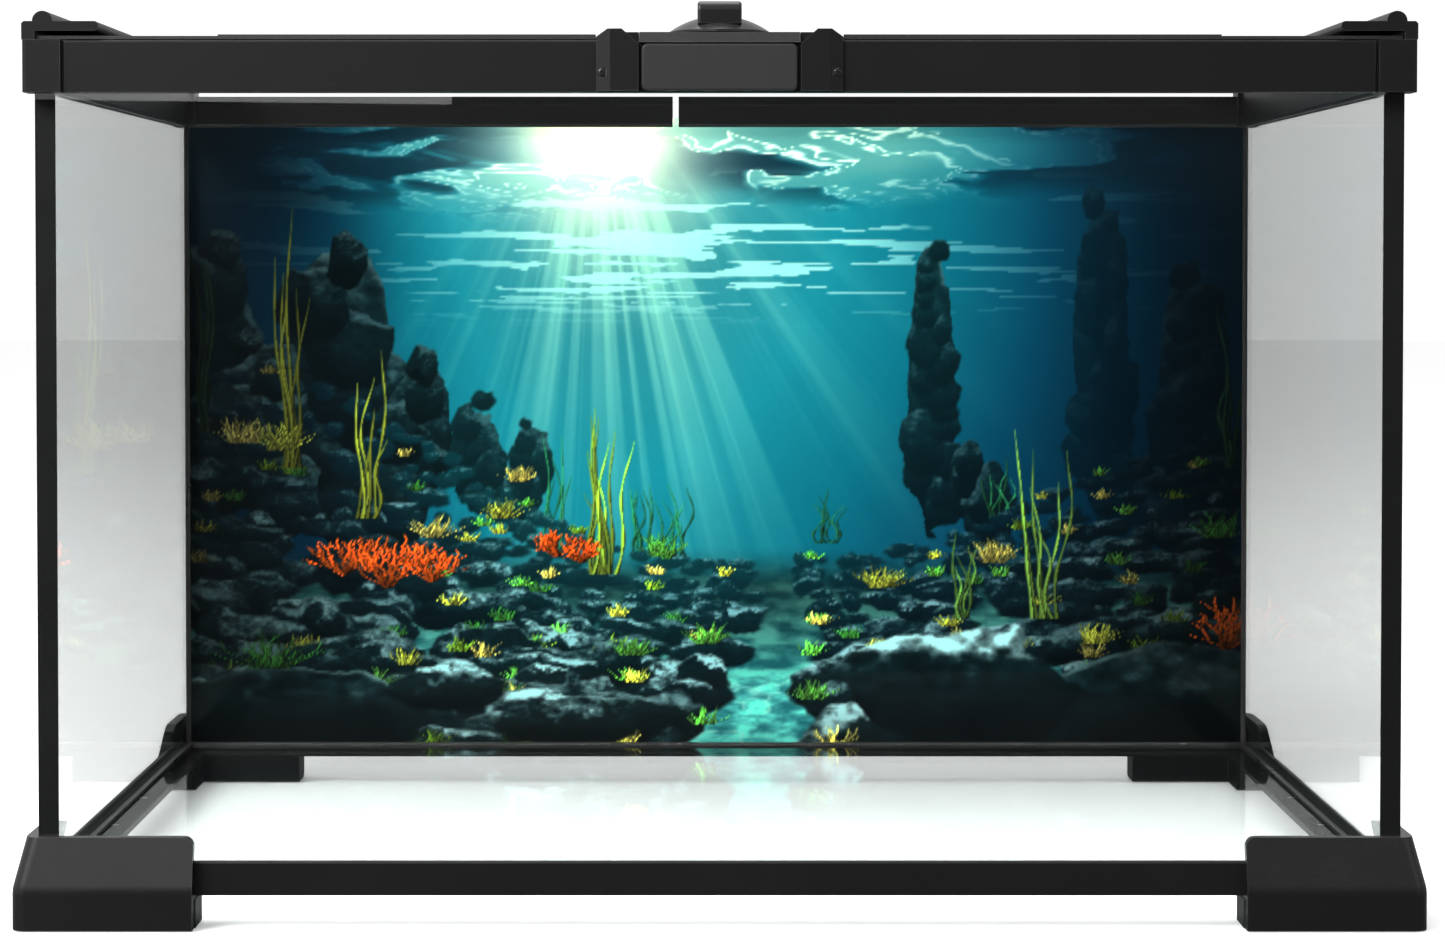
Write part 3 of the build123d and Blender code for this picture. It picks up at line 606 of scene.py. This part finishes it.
def group(name, inputs, outputs):
    """An empty shader group with named sockets; each is (name, kind, default)."""
    tree = bpy.data.node_groups.new(name, "ShaderNodeTree")
    for label, kind, value in inputs:
        socket = tree.interface.new_socket(label, in_out="INPUT", socket_type=kind)
        if value is not None:
            socket.default_value = value
    for label, kind in outputs:
        tree.interface.new_socket(label, in_out="OUTPUT", socket_type=kind)
    return tree, tree.nodes.new("NodeGroupInput"), tree.nodes.new("NodeGroupOutput")


def add(tree, kind, links=(), **values):
    """A node with its settings and values set; links are (input name, output socket)."""
    node = tree.nodes.new(kind)
    for key, value in values.items():
        if hasattr(node, key):
            setattr(node, key, value)
        else:
            node.inputs[key.replace("_", " ")].default_value = value
    for name, source in links:
        tree.links.new(source, node.inputs[name])
    return node


def math_node(tree, operation, a, b=None, clamp=False):
    """A Math node on sockets or numbers."""
    node = tree.nodes.new("ShaderNodeMath")
    node.operation = operation
    node.use_clamp = clamp
    for i, value in enumerate((a, b)):
        if value is None:
            continue
        if isinstance(value, (int, float)):
            node.inputs[i].default_value = value
        else:
            tree.links.new(value, node.inputs[i])
    return node.outputs[0]


def noise(tree, vector, scale, detail=3.0, rough=0.55):
    """A noise texture's factor."""
    node = add(tree, "ShaderNodeTexNoise", [("Vector", vector)], Detail=detail, Roughness=rough)
    if isinstance(scale, (int, float)):
        node.inputs["Scale"].default_value = scale
    else:
        tree.links.new(scale, node.inputs["Scale"])
    return node.outputs["Fac"]


def make_grain_group():
    """Moulded grain: a fine noise as height, and a slow one that shifts roughness and colour."""
    ins = [("Scale", "NodeSocketFloat", 2500.0), ("Roughness", "NodeSocketFloat", 0.4),
           ("Variation", "NodeSocketFloat", 0.08), ("Color", "NodeSocketColor", (0.03, 0.03, 0.03, 1)),
           ("Tone", "NodeSocketFloat", 0.15)]
    outs = [("Color", "NodeSocketColor"), ("Roughness", "NodeSocketFloat"), ("Height", "NodeSocketFloat")]
    tree, given, out = group("moulded_grain", ins, outs)
    place = add(tree, "ShaderNodeTexCoord").outputs["Object"]
    fine = noise(tree, place, given.outputs["Scale"], 2.0)
    slow = noise(tree, place, 22.0, 3.0)
    drift = math_node(tree, "SUBTRACT", slow, 0.5)
    shift = math_node(tree, "MULTIPLY", drift, given.outputs["Variation"])
    rough = math_node(tree, "ADD", given.outputs["Roughness"], math_node(tree, "MULTIPLY", shift, 2.0), True)
    tone = math_node(tree, "MULTIPLY", drift, given.outputs["Tone"])
    speck = math_node(tree, "MULTIPLY", math_node(tree, "SUBTRACT", fine, 0.5), given.outputs["Tone"])
    gain = math_node(tree, "ADD", math_node(tree, "ADD", tone, speck), 1.0)
    colour = add(tree, "ShaderNodeVectorMath", [(0, given.outputs["Color"]), ("Scale", gain)],
                 operation="SCALE")
    tree.links.new(colour.outputs[0], out.inputs["Color"])
    tree.links.new(rough, out.inputs["Roughness"])
    tree.links.new(fine, out.inputs["Height"])


def make_dust_group():
    """Settled dust: pale on faces that look up, broken up by noise."""
    ins = [("Color", "NodeSocketColor", (0.03, 0.03, 0.03, 1)), ("Amount", "NodeSocketFloat", 0.05),
           ("Roughness", "NodeSocketFloat", 0.4)]
    outs = [("Color", "NodeSocketColor"), ("Roughness", "NodeSocketFloat")]
    tree, given, out = group("settled_dust", ins, outs)
    place = add(tree, "ShaderNodeTexCoord").outputs["Object"]
    normal = add(tree, "ShaderNodeNewGeometry").outputs["Normal"]
    up = add(tree, "ShaderNodeSeparateXYZ", [(0, normal)]).outputs["Z"]
    patch = math_node(tree, "MULTIPLY", noise(tree, place, 60.0, 4.0), noise(tree, place, 900.0, 2.0))
    cover = math_node(tree, "MULTIPLY", math_node(tree, "MAXIMUM", up, 0.0), given.outputs["Amount"])
    mask = math_node(tree, "MULTIPLY", math_node(tree, "MULTIPLY", patch, 3.0), cover, True)
    mix = add(tree, "ShaderNodeMix", data_type="RGBA")
    tree.links.new(mask, mix.inputs["Factor"])
    tree.links.new(given.outputs["Color"], mix.inputs["A"])
    mix.inputs["B"].default_value = (0.42, 0.41, 0.39, 1)
    tree.links.new(mix.outputs["Result"], out.inputs["Color"])
    rough = math_node(tree, "ADD", given.outputs["Roughness"], math_node(tree, "MULTIPLY", mask, 0.8), True)
    tree.links.new(rough, out.inputs["Roughness"])


def make_edge_highlight_group():
    """Painted edge highlight: where the surface turns within a short distance, the colour is painted paler
    and the finish is smoother.
    """
    ins = [("Color", "NodeSocketColor", (0.03, 0.03, 0.03, 1)), ("Roughness", "NodeSocketFloat", 0.4),
           ("Rubbed", "NodeSocketColor", (0.10, 0.10, 0.10, 1)), ("Amount", "NodeSocketFloat", 0.5)]
    outs = [("Color", "NodeSocketColor"), ("Roughness", "NodeSocketFloat")]
    tree, given, out = group("painted_edge_highlight", ins, outs)
    soft = add(tree, "ShaderNodeBevel", samples=6, Radius=EDGE_RADIUS)
    sharp = add(tree, "ShaderNodeNewGeometry").outputs["Normal"]
    same = add(tree, "ShaderNodeVectorMath", [(0, soft.outputs[0]), (1, sharp)], operation="DOT_PRODUCT")
    turn = add(tree, "ShaderNodeMapRange", [("Value", same.outputs["Value"])], From_Min=0.995, From_Max=0.82)
    place = add(tree, "ShaderNodeTexCoord").outputs["Object"]
    uneven = add(tree, "ShaderNodeMapRange", [("Value", noise(tree, place, 120.0, 3.0))], From_Min=0.30,
                 From_Max=0.60, To_Min=0.35, To_Max=1.0)
    edge_highlight = math_node(tree, "MULTIPLY", turn.outputs["Result"], uneven.outputs["Result"])
    mask = math_node(tree, "MULTIPLY", edge_highlight, given.outputs["Amount"], True)
    # The paler colour along edges is a painted highlight; the lower roughness there is the finish's own.
    mix = add(tree, "ShaderNodeMix", data_type="RGBA")
    tree.links.new(mask, mix.inputs["Factor"])
    tree.links.new(given.outputs["Color"], mix.inputs["A"])
    tree.links.new(given.outputs["Rubbed"], mix.inputs["B"])
    tree.links.new(mix.outputs["Result"], out.inputs["Color"])
    smoother = math_node(tree, "MULTIPLY", mask, 0.12)
    rough = math_node(tree, "SUBTRACT", given.outputs["Roughness"], smoother, True)
    tree.links.new(rough, out.inputs["Roughness"])


def blank(name):
    """A material with a Principled shader wired to its output."""
    material = bpy.data.materials.new(name)
    material.use_nodes = True
    tree = material.node_tree
    tree.nodes.clear()
    shader = tree.nodes.new("ShaderNodeBsdfPrincipled")
    output = tree.nodes.new("ShaderNodeOutputMaterial")
    tree.links.new(shader.outputs[0], output.inputs["Surface"])
    return material, tree, shader, output


def use_group(tree, name, links=(), **values):
    """A group node with its values and links set."""
    node = tree.nodes.new("ShaderNodeGroup")
    node.node_tree = bpy.data.node_groups[name]
    for key, value in values.items():
        node.inputs[key].default_value = value
    for key, source in links:
        tree.links.new(source, node.inputs[key])
    return node


def grained(name, colour, rough, scale, bump, tone=0.15, dust=0.04, edge_highlight=0.0, **sockets):
    """A moulded or coated finish: grain for its skin, a painted highlight along edges, a little dust, fixed
    shader values.
    """
    material, tree, shader, _ = blank(name)
    grain = use_group(tree, "moulded_grain", Scale=scale, Roughness=rough, Variation=0.08,
                      Color=(*colour, 1), Tone=tone)
    skin = grain
    if edge_highlight:
        # The paler colour for edges: a painted highlight.
        pale = tuple(EDGE_HIGHLIGHT_GAIN * c + EDGE_HIGHLIGHT_LIFT for c in colour)
        skin = use_group(tree, "painted_edge_highlight", [("Color", grain.outputs["Color"]),
                                                ("Roughness", grain.outputs["Roughness"])],
                         Rubbed=(*pale, 1), Amount=edge_highlight)
    dusty = use_group(tree, "settled_dust", [("Color", skin.outputs["Color"]),
                                             ("Roughness", skin.outputs["Roughness"])], Amount=dust)
    tree.links.new(dusty.outputs["Color"], shader.inputs["Base Color"])
    tree.links.new(dusty.outputs["Roughness"], shader.inputs["Roughness"])
    relief = add(tree, "ShaderNodeBump", [("Height", grain.outputs["Height"])], Strength=bump,
                 Distance=GRAIN_DEEP)
    tree.links.new(relief.outputs[0], shader.inputs["Normal"])
    for key, value in sockets.items():
        shader.inputs[key.replace("_", " ")].default_value = value
    return material


def clear_glass(name, ior, haze):
    """Float glass: it bends and mirrors light, has faint smears, and lets lamp light straight through."""
    material, tree, shader, output = blank(name)
    shader.inputs["Base Color"].default_value = (0.972, 0.990, 0.984, 1)
    shader.inputs["Transmission Weight"].default_value = 1.0
    shader.inputs["IOR"].default_value = ior
    place = add(tree, "ShaderNodeTexCoord").outputs["Object"]
    smear = noise(tree, place, 9.0, 5.0, 0.7)
    wiped = math_node(tree, "MULTIPLY", math_node(tree, "SUBTRACT", smear, 0.52, True), 0.10)
    rough = math_node(tree, "ADD", wiped, haze)
    tree.links.new(rough, shader.inputs["Roughness"])
    open_air = tree.nodes.new("ShaderNodeBsdfTransparent")
    open_air.inputs["Color"].default_value = (0.93, 0.95, 0.94, 1)
    path = tree.nodes.new("ShaderNodeLightPath")
    mix = tree.nodes.new("ShaderNodeMixShader")
    tree.links.new(path.outputs["Is Shadow Ray"], mix.inputs[0])
    tree.links.new(shader.outputs[0], mix.inputs[1])
    tree.links.new(open_air.outputs[0], mix.inputs[2])
    tree.links.new(mix.outputs[0], output.inputs["Surface"])
    return material


def metal(name, colour, rough, scratch):
    """Turned or plated steel: fine scratches set the roughness and a slight relief."""
    material, tree, shader, _ = blank(name)
    grain = use_group(tree, "moulded_grain", Scale=scratch, Roughness=rough, Variation=0.15,
                      Color=(*colour, 1), Tone=0.2)
    tree.links.new(grain.outputs["Color"], shader.inputs["Base Color"])
    tree.links.new(grain.outputs["Roughness"], shader.inputs["Roughness"])
    shader.inputs["Metallic"].default_value = 1.0
    relief = add(tree, "ShaderNodeBump", [("Height", grain.outputs["Height"])], Strength=0.15,
                 Distance=SCRATCH_DEEP)
    tree.links.new(relief.outputs[0], shader.inputs["Normal"])
    return material


def film_front():
    """The printed side: the picture's colours, with a faint print grain under a gloss; the same colours also
    give off a painted glow.
    """
    material, tree, shader, _ = blank("film_print_side")
    picture = add(tree, "ShaderNodeAttribute", attribute_name="print").outputs["Color"]
    grain = use_group(tree, "moulded_grain", [("Color", picture)], Scale=1400.0, Roughness=0.35,
                      Variation=0.05, Tone=0.16)
    tree.links.new(grain.outputs["Color"], shader.inputs["Base Color"])
    # The picture's colours as emission: a painted glow in place of light through the film.
    tree.links.new(grain.outputs["Color"], shader.inputs["Emission Color"])
    tree.links.new(grain.outputs["Roughness"], shader.inputs["Roughness"])
    shader.inputs["Emission Strength"].default_value = FILM_GLOW
    shader.inputs["Specular IOR Level"].default_value = 0.15
    return material


def film_back():
    """The plain back of the film: off-white, a little wavy."""
    return grained("film_back_side", (0.62, 0.64, 0.65), 0.5, 240.0, 0.10, tone=0.05)


def make_materials():
    """Every finish by its slot name in the record."""
    make_grain_group()
    make_dust_group()
    make_edge_highlight_group()
    return {
        "glass": clear_glass("float_glass", WALL_IOR, 0.0),
        "silicone": grained("black_silicone", (0.017, 0.017, 0.017), 0.30, 260.0, 0.35, dust=0.02),
        "frame_plastic": grained("satin_black_plastic", (0.0062, 0.0062, 0.0066), 0.40, 3200.0, 0.25,
                                 edge_highlight=0.8, Specular_IOR_Level=0.18),
        "foot_plastic": grained("foot_black_plastic", (0.0035, 0.0035, 0.0038), 0.34, 2600.0, 0.30,
                                edge_highlight=0.8, Specular_IOR_Level=0.30),
        "panel_plastic": grained("panel_matte_plastic", (0.021, 0.021, 0.022), 0.50, 3600.0, 0.30,
                                 edge_highlight=0.8, Specular_IOR_Level=0.27),
        "knob_plastic": grained("knob_semi_gloss", (0.0080, 0.0080, 0.0085), 0.24, 3000.0, 0.10,
                                edge_highlight=0.8, Specular_IOR_Level=0.35),
        "bush_plastic": grained("acetal_bush", (0.62, 0.62, 0.58), 0.35, 2000.0, 0.10),
        "pad_rubber": grained("foot_rubber", (0.035, 0.035, 0.035), 0.75, 2400.0, 0.40),
        "spline_vinyl": grained("vinyl_spline", (0.018, 0.018, 0.018), 0.45, 1500.0, 0.25),
        "screen_mesh": grained("coated_screen", (0.02, 0.02, 0.02), 0.45, 3000.0, 0.0),
        "lid_metal": grained("powder_coat", (0.014, 0.014, 0.015), 0.40, 1400.0, 0.35, dust=0.08, edge_highlight=0.5),
        "screw_steel": metal("plated_steel", (0.60, 0.60, 0.61), 0.28, 3000.0),
        "screw_black": metal("blackened_steel", (0.045, 0.045, 0.048), 0.34, 3000.0),
        "pin_steel": metal("turned_steel", (0.56, 0.56, 0.57), 0.22, 4000.0),
    }


def dress(materials):
    """Give every CAD node the finish of its slot."""
    slots = {part["node"]: part["material_slot"] for part in frame["record"]["subparts"]}
    for name, piece in frame["nodes"].items():
        finish = materials.get(slots.get(name, ""))
        if finish is None:
            continue
        if not piece.material_slots:
            piece.data.materials.append(finish)
        for slot in piece.material_slots:
            slot.material = finish
    for node, name, ior, haze in (("bottom_pane", "floor_glass", FLOOR_IOR, FLOOR_HAZE),
                                  ("rear_pane", "rear_glass", REAR_IOR, 0.0)):
        frame["nodes"][node].material_slots[0].material = clear_glass(name, ior, haze)


# ---------------------------------------------------------------- stage

def make_floor():
    """A plain pale floor that looks white, but throws only part of that light at the tank."""
    far = FLOOR_FAR
    corners = np.array([(-far, FLOOR_FRONT, 0), (far, FLOOR_FRONT, 0), (far, far, 0), (-far, far, 0)])
    floor = new_mesh("floor", corners, [(0, 1, 2, 3)])
    material, tree, shader, _ = blank("pale_floor")
    path = add(tree, "ShaderNodeLightPath")
    bent = math_node(tree, "MAXIMUM", path.outputs["Is Diffuse Ray"], path.outputs["Is Glossy Ray"])
    bounced = math_node(tree, "SUBTRACT", bent, path.outputs["Is Transmission Ray"], True)
    pale = add(tree, "ShaderNodeMapRange", [("Value", bounced)], To_Min=FLOOR_PALE,
               To_Max=FLOOR_PALE * FLOOR_BOUNCE)
    lift = add(tree, "ShaderNodeMapRange", [("Value", bounced)], To_Min=FLOOR_LIFT, To_Max=0.0)
    tree.links.new(pale.outputs["Result"], shader.inputs["Base Color"])
    tree.links.new(lift.outputs["Result"], shader.inputs["Emission Strength"])
    shader.inputs["Emission Color"].default_value = (1, 1, 1, 1)
    shader.inputs["Roughness"].default_value = 0.6
    shader.inputs["Specular IOR Level"].default_value = 0.2
    floor.data.materials.append(material)


def soft_box(name, at, size, power):
    """A square area light that looks at the middle of the tank."""
    lamp = bpy.data.lights.new(name, "AREA")
    lamp.shape = "SQUARE"
    lamp.size = size
    lamp.energy = power
    holder = bpy.data.objects.new(name, lamp)
    bpy.context.scene.collection.objects.link(holder)
    holder.location = at
    facing = np.subtract(LIGHTS_AIM, at)
    flat = math.hypot(facing[0], facing[1])
    holder.rotation_euler = (math.atan2(flat, -facing[2]), 0, math.atan2(-facing[0], facing[1]))


def make_lights():
    """A white surround with a black flag behind the camera, and four soft boxes."""
    world = bpy.data.worlds.new("studio")
    bpy.context.scene.world = world
    world.use_nodes = True
    tree = world.node_tree
    tree.nodes.clear()
    place = add(tree, "ShaderNodeTexCoord").outputs["Generated"]
    ahead = add(tree, "ShaderNodeVectorMath", [(0, place)], operation="DOT_PRODUCT")
    ahead.inputs[1].default_value = FLAG_AIM
    open_sky = add(tree, "ShaderNodeMapRange", [("Value", ahead.outputs["Value"])],
                   interpolation_type="SMOOTHSTEP", From_Min=FLAG_COS[0], From_Max=FLAG_COS[1],
                   To_Min=1.0, To_Max=FLAG_LEVEL)
    across = add(tree, "ShaderNodeSeparateXYZ", [(0, place)]).outputs["X"]
    left = math_node(tree, "MULTIPLY", across, -SIDE_FALL)
    path = add(tree, "ShaderNodeLightPath")
    direct = math_node(tree, "MAXIMUM", path.outputs["Is Camera Ray"], path.outputs["Is Transmission Ray"])
    lit = math_node(tree, "ADD", left, LIT_LEVEL)
    even = add(tree, "ShaderNodeMapRange", [("Value", direct), ("To Min", lit)])
    even.inputs["To Max"].default_value = SURROUND
    level = math_node(tree, "MULTIPLY", even.outputs["Result"], open_sky.outputs["Result"])
    seen = math_node(tree, "MULTIPLY", path.outputs["Is Camera Ray"], SURROUND)
    sky = add(tree, "ShaderNodeBackground", [("Strength", math_node(tree, "MAXIMUM", level, seen))])
    sky.inputs["Color"].default_value = (1, 1, 1, 1)
    out = tree.nodes.new("ShaderNodeOutputWorld")
    tree.links.new(sky.outputs[0], out.inputs["Surface"])
    for box in SOFT_BOXES:
        soft_box(*box)


def make_camera():
    """The view from the front, just below the lid, looking slightly down."""
    lens = bpy.data.cameras.new("view")
    lens.lens = LENS_MM
    lens.sensor_width = SENSOR_MM
    lens.shift_x, lens.shift_y = CAMERA_SHIFT
    holder = bpy.data.objects.new("view", lens)
    bpy.context.scene.collection.objects.link(holder)
    holder.location = CAMERA_AT
    holder.rotation_euler = (math.radians(90 - CAMERA_TILT_DEG), 0, 0)
    bpy.context.scene.camera = holder


make_camera()
bpy.context.scene.view_settings.view_transform = "Standard"
finishes = make_materials()
dress(finishes)
make_film()
make_screen(finishes["screen_mesh"])
make_screw_heads(finishes["screw_black"])
make_floor()
make_lights()
